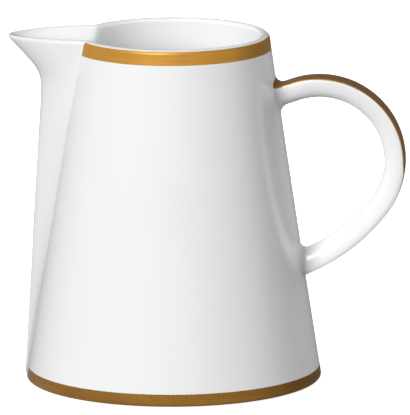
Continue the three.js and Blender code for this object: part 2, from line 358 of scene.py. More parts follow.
class Socket:
    """A shader output that takes part in Python expressions through Math nodes."""

    def __init__(self, bench: "NodeBench", output: bpy.types.NodeSocket) -> None:
        """Wraps an output.

        Args:
            bench: Where further nodes are added.
            output: The wrapped output socket.
        """
        self.bench = bench
        self.output = output

    def _math(self, operation: str, first: "Operand", second: "Operand") -> "Socket":
        """Adds a Math node on two operands."""
        return self.bench.add("ShaderNodeMath", {"operation": operation}, {0: first, 1: second})

    def __add__(self, other: "Operand") -> "Socket":
        """Sum of this and another."""
        return self._math("ADD", self, other)

    def __radd__(self, other: float) -> "Socket":
        """Sum of a number and this."""
        return self._math("ADD", other, self)

    def __sub__(self, other: "Operand") -> "Socket":
        """This less another."""
        return self._math("SUBTRACT", self, other)

    def __rsub__(self, other: float) -> "Socket":
        """A number less this."""
        return self._math("SUBTRACT", other, self)

    def __mul__(self, other: "Operand") -> "Socket":
        """Product of this and another."""
        return self._math("MULTIPLY", self, other)

    def __rmul__(self, other: float) -> "Socket":
        """Product of a number and this."""
        return self._math("MULTIPLY", other, self)


Operand = Union[Socket, float]
Input = Union[Socket, float, Sequence[float]]


class NodeBench:
    """The node tree of a material or of the world, with one method that adds any node."""

    def __init__(self, owner: Union[bpy.types.Material, bpy.types.World]) -> None:
        """Empties the owner's node tree.

        Args:
            owner: The material or the world.
        """
        self.owner = owner
        self.owner.use_nodes = True
        self.tree = self.owner.node_tree
        self.tree.nodes.clear()

    def add(
        self,
        kind: str,
        settings: Optional[dict] = None,
        inputs: Optional[dict[Union[str, int], Input]] = None,
        output: Union[str, int] = 0,
    ) -> Optional[Socket]:
        """Adds a node: its settings first, then the values or links of its sockets.

        Args:
            kind: Type name of the node.
            settings: Properties of the node, such as a Math node's operation.
            inputs: A number, a vector or a Socket for each socket name or number.
            output: Name or number of the output to return.

        Returns:
            That output, or None for a node without one.
        """
        node = self.tree.nodes.new(kind)
        for key, value in (settings or {}).items():
            setattr(node, key, value)
        for key, value in (inputs or {}).items():
            if isinstance(value, Socket):
                self.tree.links.new(value.output, node.inputs[key])
            else:
                node.inputs[key].default_value = value
        return Socket(self, node.outputs[output]) if node.outputs else None

    def noise(self, vector: Socket, scale: float, detail: float = 3.0, roughness: float = 0.5) -> Socket:
        """Soft noise from 0 to 1.

        Args:
            vector: Coordinates that it reads.
            scale: Waves per unit of those coordinates.
            detail: Number of finer layers.
            roughness: Weight of the finer layers.

        Returns:
            The noise's value.
        """
        sockets = {"Vector": vector, "Scale": scale, "Detail": detail, "Roughness": roughness}
        return self.add("ShaderNodeTexNoise", {"noise_dimensions": "3D"}, sockets)

    def mix(self, factor: Operand, first: Input, second: Input) -> Socket:
        """Colour between two colours.

        Args:
            factor: 0 for the first, 1 for the second.
            first: First colour.
            second: Second colour.

        Returns:
            The mixed colour.
        """
        ends = [end if isinstance(end, Socket) else (*end, 1.0) for end in (first, second)]
        settings = {"data_type": "RGBA"}
        factor_input, first_input, second_input, colour_output = 0, 6, 7, 2
        sockets = {factor_input: factor, first_input: ends[0], second_input: ends[1]}
        return self.add("ShaderNodeMix", settings, sockets, output=colour_output)

    def step(self, value: Operand, low: float, high: float) -> Socket:
        """Eased step: 0 below low, 1 above high.

        Args:
            value: What is tested.
            low: Where the step starts.
            high: Where it is complete.

        Returns:
            The share, 0 to 1.
        """
        sockets = {"Value": value, "From Min": low, "From Max": high}
        return self.add("ShaderNodeMapRange", {"interpolation_type": "SMOOTHSTEP"}, sockets)

    def bump(self, height: Socket, distance: float, strength: float = 1.0) -> Socket:
        """Normal disturbed by a height.

        Args:
            height: Height from 0 to 1.
            distance: What a height of 1 stands for, in metres.
            strength: Share of the effect.

        Returns:
            The normal.
        """
        sockets = {"Height": height, "Distance": distance, "Strength": strength}
        return self.add("ShaderNodeBump", None, sockets)

    def surface(self, inputs: dict[str, Input]) -> bpy.types.Material:
        """Ends the tree with a Principled surface.

        Args:
            inputs: Values or links of the surface's sockets.

        Returns:
            The finished material.
        """
        shader = self.add("ShaderNodeBsdfPrincipled", None, inputs)
        self.add("ShaderNodeOutputMaterial", None, {"Surface": shader})
        return self.owner


@dataclass(frozen=True)
class Glaze:
    """Clear gloss glaze over white porcelain.

    Attributes:
        white: Colour of the glazed body.
        hollow_shade_colour: Painted shade, the darker, cooler colour laid in folds and along joints.
        warm: Colour of the faint clouds in the body.
        cloud_scale: Clouds to the metre.
        cloud_range: Noise at which a cloud begins and at which it is full.
        ripple_scale: Ripples to the metre.
        ripple_height: Their height.
        speck: Colour of the few specks of iron in the clay.
        speck_scale: Places to the metre where one may lie.
        speck_range: Noise at which a speck begins and at which it is full.
        speck_share: How strongly a speck shows.
        hollow_shade_share: How strongly the painted shade shows.
        gloss: Roughness of the clear body.
        gloss_spread: How much rougher the clouds are.
        refraction: Index of refraction of the glaze.
        coat: Weight and roughness of the clear coat.
    """

    white: Colour = (0.868, 0.882, 0.875)
    # painted shade: the darker, cooler colour laid into folds, the floor's cove and the handle's roots
    hollow_shade_colour: Colour = (0.80, 0.835, 0.84)
    warm: Colour = (0.862, 0.868, 0.856)
    cloud_scale: float = 38.0
    cloud_range: tuple[float, float] = (0.4, 0.7)
    ripple_scale: float = 260.0
    ripple_height: float = 0.012 * MM
    speck: Colour = (0.55, 0.5, 0.42)
    speck_scale: float = 900.0
    speck_range: tuple[float, float] = (0.72, 0.8)
    speck_share: float = 0.10
    hollow_shade_share: float = 0.6
    gloss: float = 0.16
    gloss_spread: float = 0.05
    refraction: float = 1.5
    coat: tuple[float, float] = (0.35, 0.05)

    def material(self, name: str) -> bpy.types.Material:
        """Makes the material.

        Args:
            name: Name of the material.

        Returns:
            White with faint clouds, darker and cooler in the folds and joints as painted shade, with
            slow ripples in the gloss.
        """
        bench = NodeBench(bpy.data.materials.new(name))
        place = bench.add("ShaderNodeTexCoord", output="Object")
        pool = bench.add("ShaderNodeAttribute", {"attribute_name": "painted_hollow_shade"}, output="Fac")
        clouds = bench.step(bench.noise(place, self.cloud_scale), *self.cloud_range)
        ripples = bench.noise(place, self.ripple_scale, detail=1.0)
        specks = bench.step(bench.noise(place, self.speck_scale, detail=2.0), *self.speck_range)
        body = bench.mix(clouds, self.white, self.warm)
        # painted shade: the folds, the floor's cove and the handle's roots are darkened towards a cooler
        # white
        with_hollow_shade = bench.mix(self.hollow_shade_share * pool, body, self.hollow_shade_colour)
        return bench.surface(
            {
                "Base Color": bench.mix(self.speck_share * specks, with_hollow_shade, self.speck),
                "Roughness": self.gloss + self.gloss_spread * clouds,
                "IOR": self.refraction,
                "Coat Weight": self.coat[0],
                "Coat Roughness": self.coat[1],
                "Normal": bench.bump(ripples, self.ripple_height),
            }
        )


@dataclass(frozen=True)
class GoldLustre:
    """Burnished gold line, brushed along its length.

    Attributes:
        bright: Colour of the thick, burnished gold.
        deep: Colour of the thin, browner gold.
        streaks: Waves of the brush marks along and across the line, over its whole UV square.
        streak_share: How much the brush marks, and not the clouds, say where the gold is thin.
        streak_height: Height of the brush marks.
        cloud_scale: Clouds of thinner gold to the metre.
        thin_range: Where the gold begins to be thin and where it is thinnest, 0 to 1.
        metal: How metallic the thick gold is.
        metal_loss: How much less the thin gold is.
        polish: Roughness of the gold.
        polish_spread: How much rougher the brush marks are.
    """

    bright: Colour = (0.64, 0.32, 0.055)
    deep: Colour = (0.55, 0.265, 0.04)
    streaks: tuple[float, float] = (6.0, 14.0)
    streak_share: float = 0.6
    streak_height: float = 0.002 * MM
    cloud_scale: float = 150.0
    thin_range: tuple[float, float] = (0.35, 0.65)
    metal: float = 0.86
    metal_loss: float = 0.08
    polish: float = 0.36
    polish_spread: float = 0.08

    def material(self, name: str) -> bpy.types.Material:
        """Makes the material.

        Args:
            name: Name of the material.

        Returns:
            Gold with long brush streaks in its colour, its roughness and its surface.
        """
        bench = NodeBench(bpy.data.materials.new(name))
        square = bench.add("ShaderNodeUVMap", {"uv_map": "Surface"})
        stretch = (*self.streaks, 1.0)
        brushed = bench.add("ShaderNodeMapping", None, {"Vector": square, "Scale": stretch})
        place = bench.add("ShaderNodeTexCoord", output="Object")
        streaks = bench.noise(brushed, 1.0, detail=4.0, roughness=0.6)
        clouds = bench.noise(place, self.cloud_scale)
        thinning = self.streak_share * streaks + (1.0 - self.streak_share) * clouds
        thin = bench.step(thinning, *self.thin_range)
        return bench.surface(
            {
                "Base Color": bench.mix(thin, self.bright, self.deep),
                "Metallic": self.metal - self.metal_loss * thin,
                "Roughness": self.polish + self.polish_spread * streaks,
                "Normal": bench.bump(streaks, self.streak_height),
            }
        )


@dataclass(frozen=True)
class Biscuit:
    """Unglazed porcelain, ground flat where the jug stands.

    Attributes:
        pale: Colour of the clean clay.
        grey: Colour where it is stained.
        grain_scale: Grains to the metre.
        grain_share: How much the grain, and not the patches, says where it is stained.
        grain_height: Height of the grain.
        patch_scale: Patches of stain to the metre.
        patch_range: Noise at which a patch begins and at which it is full.
        stain_range: The same for the grain and the patches together.
        matt: Roughness of the clay.
        matt_spread: How much rougher the grain is.
    """

    pale: Colour = (0.74, 0.71, 0.64)
    grey: Colour = (0.55, 0.52, 0.46)
    grain_scale: float = 2200.0
    grain_share: float = 0.5
    grain_height: float = 0.03 * MM
    patch_scale: float = 160.0
    patch_range: tuple[float, float] = (0.45, 0.75)
    stain_range: tuple[float, float] = (0.4, 0.8)
    matt: float = 0.8
    matt_spread: float = 0.12

    def material(self, name: str) -> bpy.types.Material:
        """Makes the material.

        Args:
            name: Name of the material.

        Returns:
            A dry, speckled and slightly stained matt surface.
        """
        bench = NodeBench(bpy.data.materials.new(name))
        place = bench.add("ShaderNodeTexCoord", output="Object")
        grain = bench.noise(place, self.grain_scale, detail=4.0, roughness=0.7)
        patches = bench.step(bench.noise(place, self.patch_scale), *self.patch_range)
        stained = self.grain_share * grain + (1.0 - self.grain_share) * patches
        stain = bench.step(stained, *self.stain_range)
        return bench.surface(
            {
                "Base Color": bench.mix(stain, self.pale, self.grey),
                "Roughness": self.matt + self.matt_spread * grain,
                "Normal": bench.bump(grain, self.grain_height),
            }
        )


# ------------------------------------------------------------------ the cone and its spout


@dataclass(frozen=True)
class WallPath:
    """A line up or over the wall's section.

    Attributes:
        share: Share of the height between the foot's edge and the lip's shoulder.
        side: 0 on the outer face, 1 on the inner face.
        rise: Height above the place that the share gives.
    """

    share: np.ndarray
    side: np.ndarray
    rise: np.ndarray

    @classmethod
    def up_the_face(cls, share: np.ndarray, side: float = 0.0) -> "WallPath":
        """A path up one face of the wall, the outer one unless told."""
        return cls(share, share * 0.0 + side, share * 0.0)

    def then(self, other: "WallPath") -> "WallPath":
        """This path followed by another."""
        parts = ((self.share, other.share), (self.side, other.side), (self.rise, other.rise))
        return WallPath(*(np.concatenate(pair) for pair in parts))


@dataclass(frozen=True)
class JugShape:
    """The cone and the spout folded out of it, as functions of height and of the way round.

    The way round, called turn, is 0 to 1 on the cone, from the front fold past the handle to
    the back fold, and 1 to 2 across the spout, from the back fold over the ridge to the front.
    """

    axis_x: float                        # where the cone's axis stands, and how high it goes
    height: float
    foot_radius: float = 40.3 * MM       # the cone's outer radius, run down to the table
    rim_radius: float = 26.3 * MM
    wall_flare: float = 0.18 * MM        # how far the wall hollows in from a straight cone
    wall_foot: float = 2.6 * MM          # thickness of the wall at the foot and at the lip
    wall_lip: float = 2.4 * MM
    wall_bottom: float = 0.3 * MM        # the wall stops clear of the table
    foot_edge: float = 1.0 * MM          # radius of its rounded outer edge
    fold_foot: float = 7.0 * MM          # half the width of the spout from fold to fold
    fold_rim: float = 12.9 * MM
    seam_foot: float = 0.9 * MM          # how much narrower that is inside
    seam_rim: float = 1.7 * MM
    ridge_foot: float = 40.8 * MM        # the ridge's distance from the axis at the foot
    ridge_lean: float = 0.066            # how far it leans in for each metre of height
    throat_z: float = 84.3 * MM          # where the ridge bends out towards the tip
    throat_slope: float = 1.025          # how far it goes out for each metre above the bend
    throat_softness: float = 1.6 * MM    # how gently it bends
    ridge_wall_foot: float = 2.8 * MM    # thickness of the wall along the ridge
    ridge_wall_tip: float = 2.4 * MM
    lip_dip: float = 0.4 * MM            # how far the tip of the lip lies below the rim
    opening_z: float = 60.0 * MM         # above this the pinched spout opens to a leaf
    pinch_high: float = 1.45             # how sharply the fin falls away to the folds
    pinch_foot: float = 8.5
    pinch_fall: float = 10.5 * MM
    leaf_power: float = 1.6              # the shape of the opened lip, seen from above
    leaf_fullness: float = 0.65
    ridge_round_foot: float = 0.12       # how round the ridge is, as a share of its half width
    ridge_round_middle: float = 0.2
    ridge_round_rim: float = 0.1
    bead_height: float = 0.16 * MM       # the slight step down from the spout to the fold
    bead_width: float = 1.5 * MM
    bead_from: float = 26.0 * MM         # it fades in between these heights
    bead_to: float = 46.0 * MM
    fold_softness: float = 0.32 * MM     # how far the glaze rounds the folds outside and inside
    inner_softness: float = 1.3 * MM
    mean_reach: int = 30                 # neighbours each way that the rounding looks at
    hollow_shade_width: float = 1.1 * MM         # how far from a fold the painted shade reaches

    @property
    def edge_top(self) -> float:
        """Height of the top of the foot's rounded edge, where shares begin."""
        return self.wall_bottom + self.foot_edge

    def share_at(self, z: Union[float, np.ndarray]) -> Union[float, np.ndarray]:
        """Share of the way from the foot's edge to the lip's shoulder at a height."""
        return (z - self.edge_top) / (self.height - self.wall_lip / 2.0 - self.edge_top)

    def lip_path(self, over: np.ndarray) -> WallPath:
        """The round top of the lip, by the angle from its outer shoulder."""
        side = (1.0 - np.cos(over)) / 2.0
        return WallPath(over * 0.0 + 1.0, side, self.wall_lip / 2.0 * np.sin(over))

    def cone_radius(self, z: np.ndarray) -> np.ndarray:
        """Outer radius of the cone: a straight line from foot to rim, less a shallow parabola."""
        t = z / self.height
        return blend(self.foot_radius, self.rim_radius, t) - 4.0 * self.wall_flare * t * (1.0 - t)

    def wall_radius(self, z: np.ndarray, side: np.ndarray) -> np.ndarray:
        """The cone's radius less the share, side, of the wall's thickness at that height."""
        return self.cone_radius(z) - side * blend(self.wall_foot, self.wall_lip, z / self.height)

    def fold_width(self, z: np.ndarray, side: np.ndarray) -> np.ndarray:
        """Half the distance between the folds, in a straight line with height."""
        t = z / self.height
        seam = blend(self.seam_foot, self.seam_rim, t)
        return blend(self.fold_foot, self.fold_rim, t) - side * seam

    def ridge(self, z: np.ndarray, side: np.ndarray) -> np.ndarray:
        """The ridge's distance from the axis: a leaning line whose slope grows as a logistic."""
        bend = np.logaddexp(0.0, (z - self.throat_z) / self.throat_softness)
        sweep = self.throat_slope * self.throat_softness * bend
        wall = blend(self.ridge_wall_foot, self.ridge_wall_tip, smooth(z / self.height))
        return self.ridge_foot - self.ridge_lean * z + sweep - side * wall

    def spout_share(self, s: np.ndarray, z: np.ndarray) -> np.ndarray:
        """Share of the ridge's reach at s, from 1 on the ridge to 0 at a fold.

        With t the way from ridge to fold, rounded at the ridge as a hyperbola is, the share
        is (1 - t^a)^b. Low down b is large, which pinches the spout to a fin; towards the rim
        a grows and b falls below one, which opens it to a leaf.

        Args:
            s: Way across the spout, -1 to 1.
            z: Height.

        Returns:
            The share, 0 to 1.
        """
        opened = smooth((z - self.opening_z) / (self.height - self.opening_z))
        round_low = blend(self.ridge_round_foot, self.ridge_round_middle, smooth(z / self.opening_z))
        rounding = blend(round_low, self.ridge_round_rim, opened)
        t = (np.hypot(s, rounding) - rounding) / (np.hypot(1.0, rounding) - rounding)
        pinch = self.pinch_high + self.pinch_foot * np.exp(-z / self.pinch_fall)
        power = blend(1.0, self.leaf_power, opened)
        fall = blend(pinch, self.leaf_fullness, opened)
        return np.power(np.clip(1.0 - np.power(t, power), 0.0, 1.0), fall)

    def bead(self, s: np.ndarray, z: np.ndarray, side: np.ndarray) -> np.ndarray:
        """A slight step down to the fold on the outer face, fading out towards the foot.

        Args:
            s: Way across the spout, -1 to 1.
            z: Height.
            side: 0 on the outer face, 1 on the inner face.

        Returns:
            How far the spout stands out for it.
        """
        away = (1.0 - np.abs(s)) * self.fold_width(z, side)
        fade = smooth((z - self.bead_from) / (self.bead_to - self.bead_from))
        return self.bead_height * (1.0 - side) * fade * smooth(away / self.bead_width)

    def lip_height(self, s: np.ndarray) -> np.ndarray:
        """Height of the top of the spout's lip, which dips as the square of the spout's share."""
        return self.height - self.lip_dip * self.spout_share(s, np.array(self.height)) ** 2

    def cone_points(self, v: np.ndarray, z: np.ndarray, side: np.ndarray) -> np.ndarray:
        """Points of the cone: v from -1 to 1 turns from one fold past the handle to the other."""
        radius = self.wall_radius(z, side)
        angle = v * (math.pi - np.arcsin(self.fold_width(z, side) / radius))
        return np.stack([self.axis_x + radius * np.cos(angle), radius * np.sin(angle), z], -1)

    def spout_points(self, s: np.ndarray, z: np.ndarray, side: np.ndarray) -> np.ndarray:
        """Points of the spout: the cone's circle pushed out along -X by the spout's share."""
        radius = self.wall_radius(z, side)
        y = self.fold_width(z, side) * s
        reach = np.maximum(self.ridge(z, side) - radius, 0.0) * self.spout_share(s, z)
        x = -np.sqrt(radius**2 - y**2) - reach - self.bead(s, z, side)
        return np.stack([self.axis_x + x, y, z], -1)

    def heights(self, turn: np.ndarray, path: WallPath) -> np.ndarray:
        """Height of each path point at each turn: by share between foot edge and shoulder."""
        s = np.clip(3.0 - 2.0 * turn, -1.0, 1.0)
        top = np.where(turn > 1.0, self.lip_height(s), self.height)[:, None]
        run = top - self.wall_lip / 2.0 - self.edge_top
        return self.edge_top + run * path.share[None] + path.rise[None]

    def raw_points(self, turn: np.ndarray, path: WallPath) -> np.ndarray:
        """Points of a path carried round, with the two folds still sharp.

        Args:
            turn: Way round, 0 to 2.
            path: Path over the section.

        Returns:
            Grid (turns, path points, 3).
        """
        z = self.heights(turn, path)
        side = np.broadcast_to(path.side[None], z.shape)
        v = np.broadcast_to(np.clip(2.0 * turn - 1.0, -1.0, 1.0)[:, None], z.shape)
        s = np.broadcast_to(np.clip(3.0 - 2.0 * turn, -1.0, 1.0)[:, None], z.shape)
        on_spout = (turn > 1.0)[:, None, None]
        return np.where(on_spout, self.spout_points(s, z, side), self.cone_points(v, z, side))

    def soften(self, points: np.ndarray, path: WallPath) -> np.ndarray:
        """Rounds the folds as glaze does, more inside: a Gaussian mean along each level line.

        Each point becomes the mean of its neighbours, weighted by the bell curve of their
        distance along the line and by the length that each stands for.

        Args:
            points: Grid (turns, path points, 3) that closes all the way round.
            path: The path that was carried round.

        Returns:
            The softened grid.
        """
        softness = blend(self.fold_softness, self.inner_softness, smooth(path.side))[None]
        gap = np.linalg.norm(np.roll(points, -1, 0) - points, axis=-1)
        span = (gap + np.roll(gap, 1, 0)) / 2.0
        total = np.zeros_like(points)
        weights = np.zeros_like(span)
        for way in (-1, 1):
            away = np.zeros_like(span)
            for shift in range(self.mean_reach + 1):
                if shift:
                    away = away + np.roll(gap, -(shift - 1) if way > 0 else shift, 0)
                share = np.exp(-((away / softness) ** 2) / 2.0)
                weight = share * np.roll(span, -way * shift, 0) * (0.5 if shift == 0 else 1.0)
                total += np.roll(points, -way * shift, 0) * weight[..., None]
                weights += weight
        return total / weights[..., None]

    def pool(self, turn: np.ndarray, path: WallPath) -> np.ndarray:
        """Painted shade at each point: a bell curve of the distance from a fold."""
        z = self.heights(turn, path)
        half = self.fold_width(z, path.side[None])
        on_cone = np.minimum(turn, 1.0 - turn)[:, None] * 2.0 * math.pi * self.cone_radius(z)
        on_spout = np.minimum(turn - 1.0, 2.0 - turn)[:, None] * 2.0 * half
        away = np.where((turn > 1.0)[:, None], on_spout, on_cone)
        return np.exp(-((away / self.hollow_shade_width) ** 2))


@dataclass
class JugBody:
    """The cone wall, the spout, the floor and the foot ring.

    Attributes:
        shape: The surfaces.
        cone_turns: Stations round the cone.
        spout_turns: Stations across the spout.
        rows: Stations up the wall.
        edge_steps: Stations round each lower edge of the wall.
        lip_steps: Stations over the lip.
        cluster_cone: How far the stations of the cone bunch towards the folds, 0 to 1.
        cluster_spout: The same for the spout.
        inner_edge: Radius of the hidden lower edge of the inner face.
        floor_cove: Radius of the hollow where the wall meets the floor.
        floor_bite: Share of the wall's thickness that the floor's rim reaches into.
        cove_steps: Stations round the hollow.
        cove_shade: How much painted shade lies in it.
        flat_steps: Stations along each flat of the floor.
        flat_start: Share of the flat at which they begin.
        flat_bunching: Power that bunches them towards the hollow.
        ring_corner: Radius of the foot ring's two rounded corners.
        ring_steps: Stations round each corner, and ends and stations of the flat between.
        ring_turns: Stations round the foot ring.
        gold_set_back: How far the gilded lines stop short of the folds.
    """

    shape: JugShape
    cone_turns: int = 250
    spout_turns: int = 130
    rows: int = 116
    edge_steps: int = 7
    lip_steps: int = 18
    cluster_cone: float = 0.85
    cluster_spout: float = 0.94
    inner_edge: float = 0.6 * MM
    floor_cove: float = 4.0 * MM
    floor_bite: float = 0.25
    cove_steps: int = 15
    cove_shade: float = 0.6
    flat_steps: int = 16
    flat_start: float = 0.04
    flat_bunching: float = 0.8
    ring_corner: float = 0.5 * MM
    ring_steps: tuple[int, int] = (9, 6)
    ring_turns: int = 240
    gold_set_back: float = 0.75 * MM
    turn: np.ndarray = field(init=False)
    path: WallPath = field(init=False)
    grid: np.ndarray = field(init=False)
    normals: np.ndarray = field(init=False)
    pool: np.ndarray = field(init=False)

    def __post_init__(self) -> None:
        """Works out the whole wall once, as one closed grid that the pieces share."""
        self.turn = self._turns()
        self.path = self._section()
        self.grid = self.shape.soften(self.shape.raw_points(self.turn, self.path), self.path)
        self.normals = sheet_normals(self.grid, (True, True))
        self.pool = self.shape.pool(self.turn, self.path)

    def _turns(self) -> np.ndarray:
        """Ways round: closer together towards the folds, as a sine bunches its ends."""
        bunched = []
        stretches = ((self.cone_turns, self.cluster_cone), (self.spout_turns, self.cluster_spout))
        for count, cluster in stretches:
            even = np.linspace(-1.0, 1.0, count + 1)
            bunched.append(blend(even, np.sin(even * math.pi / 2.0), cluster) / 2.0 + 0.5)
        return np.concatenate([bunched[0], 1.0 + bunched[1][1:-1]])

    def _section(self) -> WallPath:
        """The wall's section: up the outer face, over the round lip, down the inner face.

        Returns:
            A path whose points pair up across the wall, first with last.
        """
        down = np.linspace(0.0, math.pi / 2.0, self.edge_steps, endpoint=False)
        edge_sides = (1.0 - np.sin(down)) * self.shape.foot_edge / self.shape.wall_foot
        outer_edge = WallPath(down * 0.0, edge_sides, -self.shape.foot_edge * np.cos(down))
        up = np.linspace(0.0, 1.0, self.rows)
        outer = WallPath.up_the_face(up)
        lip = self.shape.lip_path(np.linspace(0.0, math.pi, self.lip_steps + 2)[1:-1])
        inner = WallPath.up_the_face(up[::-1], side=1.0)
        inner_sides = 1.0 - (1.0 - np.sin(down)) * self.inner_edge / self.shape.wall_foot
        inner_rise = -self.shape.foot_edge + self.inner_edge * (1.0 - np.cos(down))
        inner_edge = WallPath(down * 0.0, inner_sides[::-1], inner_rise[::-1])
        return outer_edge.then(outer).then(lip).then(inner).then(inner_edge)

    def _stretch(self, spout: bool) -> np.ndarray:
        """Indices of the stations of the spout, or of the cone, with both folds."""
        every = np.arange(len(self.turn))
        if spout:
            return np.concatenate([every[self.cone_turns:], [0]])
        return every[: self.cone_turns + 1]

    def wall(self, spout: bool) -> Skin:
        """The cone wall or the spout, each closed in itself and meeting the other at the folds.

        Args:
            spout: True for the spout.

        Returns:
            The closed skin.
        """
        kept = self._stretch(spout)
        return tube_skin(self.grid[kept], self.normals[kept], self.pool[kept])

    def gilded_line(self, path: WallPath, proud: float, sunk: float) -> Skin:
        """A gilded line round the cone from fold to fold, along a path over the section.

        Args:
            path: Path over the outer face, from the line's lower edge to its upper edge.
            proud: Its height above the glaze.
            sunk: The depth of its underside.

        Returns:
            The closed skin.
        """
        turn = self.turn[self._stretch(spout=False)]
        z = self.shape.heights(turn, path)
        half_way = math.pi * self.shape.cone_radius(z)
        v = (2.0 * turn[:, None] - 1.0) * (1.0 - self.gold_set_back / half_way)
        sheet = self.shape.cone_points(v, z, np.broadcast_to(path.side[None], z.shape))
        normals = sheet_normals(sheet, (False, False))
        outward = np.sign(np.sum(normals * self._radial(sheet), axis=-1).mean())
        return ribbon_skin(sheet, normals * outward, proud, sunk)

    def _radial(self, points: np.ndarray) -> np.ndarray:
        """Level directions away from the jug's axis."""
        level = points * np.array([1.0, 1.0, 0.0])
        level[..., 0] -= self.shape.axis_x
        return unit(level)

    def floor(self, low: float, high: float) -> Skin:
        """The floor: flat inside, rising to the wall in a quarter-circle cove, flat below.

        Args:
            low: Height of its underside.
            high: Height of its upper face.

        Returns:
            The closed skin.
        """
        shape = self.shape
        cove_top = high + self.floor_cove
        shares = shape.share_at(np.array([cove_top, low]))
        edge = WallPath.up_the_face(shares, side=1.0 - self.floor_bite)
        rims = shape.soften(shape.raw_points(self.turn, edge), edge)
        axis = np.array([shape.axis_x, 0.0, 0.0])
        around = self._radial(rims[:, :1])
        length = np.linalg.norm((rims - axis)[..., :2], axis=-1)
        sink = self.floor_bite * shape.wall_foot
        quarter = np.linspace(0.0, math.pi / 2.0, self.cove_steps)
        flat = np.linspace(self.flat_start, 1.0, self.flat_steps) ** self.flat_bunching
        cove_start = length[:, 0] - sink - self.floor_cove
        radius = np.concatenate(
            [
                flat[None] * cove_start[:, None],
                cove_start[:, None] + self.floor_cove * np.sin(quarter[None, 1:]),
                length[:, :1],
                length[:, 1:],
                flat[None, ::-1] * (length[:, 1:] - 2.0 * sink),
            ],
            axis=1,
        )
        levels = np.concatenate(
            [
                np.full(len(flat), high),
                high + self.floor_cove * (1.0 - np.cos(quarter[1:])),
                [cove_top, low],
                np.full(len(flat), low),
            ]
        )
        points = axis + around * radius[..., None]
        points[..., 2] = levels[None]
        cove = (levels > high) & (levels < cove_top)
        # painted shade in the floor's cove, where the wall meets the floor
        pool = np.broadcast_to(np.where(cove, self.cove_shade, 0.0)[None], radius.shape)
        poles = np.array([[shape.axis_x, 0.0, high], [shape.axis_x, 0.0, low]])
        return turned_skin(points, poles, pool)

    def foot_ring(self, low: float, high: float, outer: float, width: float) -> Skin:
        """The ground foot ring: a flat foot between two rounded corners, turned all round.

        Args:
            low: Height of its standing face.
            high: Height of its top, inside the floor.
            outer: Its outer radius.
            width: Its width.

        Returns:
            The closed skin.
        """
        corner_steps, flat_steps = self.ring_steps
        quarter = np.linspace(0.0, math.pi / 2.0, corner_steps)
        flat = np.linspace(0.0, 1.0, flat_steps)[1:-1]
        inner = outer - width
        down = self.ring_corner * (1 - np.sin(quarter))
        along = self.ring_corner * (1 - np.cos(quarter))
        between = blend(inner + along[-1], outer - down[0], flat)
        radius = np.concatenate([[inner], inner + along, between, outer - down, [outer]])
        level = np.concatenate([[high], low + down, between * 0.0 + low, low + along, [high]])
        angle = np.linspace(0.0, 2.0 * math.pi, self.ring_turns, endpoint=False)[:, None]
        x = self.shape.axis_x + radius[None] * np.cos(angle)
        y = radius[None] * np.sin(angle)
        z = np.broadcast_to(level[None], x.shape)
        skin = ring_skin(np.stack([x, y, z], -1))
        skin.normals = None
        return skin


# ------------------------------------------------------------------ the handle


